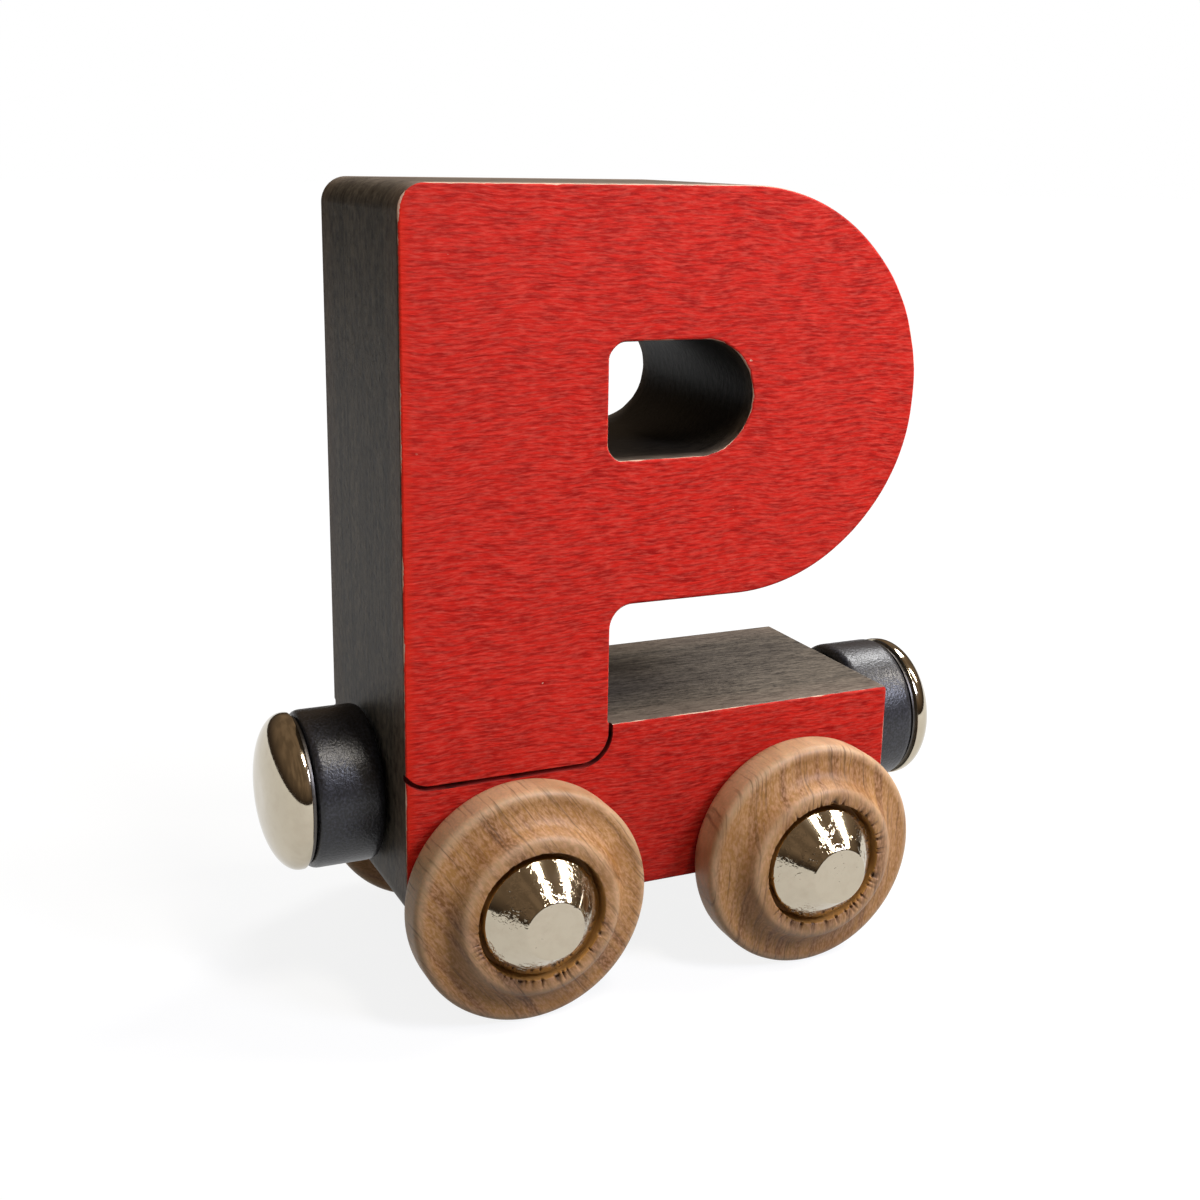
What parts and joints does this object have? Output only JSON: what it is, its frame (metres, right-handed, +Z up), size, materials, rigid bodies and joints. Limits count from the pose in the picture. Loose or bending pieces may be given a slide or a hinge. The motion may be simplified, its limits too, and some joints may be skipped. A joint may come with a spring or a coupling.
{
  "type": "letter train car",
  "caption": "Wooden toy train car: a block letter standing on a base cut from the same plank, on turned wooden wheels with cone-headed axle pins, with a ring magnet coupling at each end.",
  "frame": {"origin": "on the ground, under the middle of the base", "axes": "+X along the train, towards the end under the bowl of the letter; -Y towards the side that reads the right way round; +Z up"},
  "size_m": [0.06, 0.0352, 0.0628],
  "materials": {
    "stained_maple": "red stain on the two broad faces, black stain on all the sawn edges, satin clear coat",
    "bare_maple": "turned and sanded, thin clear coat",
    "nickel_plate": "bright nickel plate on steel",
    "ferrite": "sintered ceramic magnet, satin charcoal",
    "dark_steel": "thin oiled steel"
  },
  "bodies": {
    "car_body": {"letter_body": "stained_maple", "axle_pin_front_left": "nickel_plate", "axle_pin_front_right": "nickel_plate", "axle_pin_back_left": "nickel_plate", "axle_pin_back_right": "nickel_plate", "magnet_pin_left": "nickel_plate", "magnet_pin_right": "nickel_plate", "magnet_washer_left": "dark_steel", "magnet_washer_right": "dark_steel"},
    "wheel_front_left": {"wheel_front_left": "bare_maple"},
    "wheel_front_right": {"wheel_front_right": "bare_maple"},
    "wheel_back_left": {"wheel_back_left": "bare_maple"},
    "wheel_back_right": {"wheel_back_right": "bare_maple"},
    "magnet_left": {"magnet_left": "ferrite"},
    "magnet_right": {"magnet_right": "ferrite"}
  },
  "joints": [
    {"name": "wheel_front_left_spin", "type": "hinge", "parent": "car_body", "child": "wheel_front_left", "pos_m": [-0.01235, -0.01175, 0.0095], "axis": [0, 1, 0], "continuous": true},
    {"name": "wheel_front_right_spin", "type": "hinge", "parent": "car_body", "child": "wheel_front_right", "pos_m": [0.01235, -0.01175, 0.0095], "axis": [0, 1, 0], "continuous": true},
    {"name": "wheel_back_left_spin", "type": "hinge", "parent": "car_body", "child": "wheel_back_left", "pos_m": [-0.01235, 0.01175, 0.0095], "axis": [0, 1, 0], "continuous": true},
    {"name": "wheel_back_right_spin", "type": "hinge", "parent": "car_body", "child": "wheel_back_right", "pos_m": [0.01235, 0.01175, 0.0095], "axis": [0, 1, 0], "continuous": true},
    {"name": "magnet_left_spin", "type": "hinge", "parent": "car_body", "child": "magnet_left", "pos_m": [-0.02423, 0, 0.01635], "axis": [1, 0, 0], "continuous": true},
    {"name": "magnet_right_spin", "type": "hinge", "parent": "car_body", "child": "magnet_right", "pos_m": [0.02423, 0, 0.01635], "axis": [1, 0, 0], "continuous": true}
  ]
}
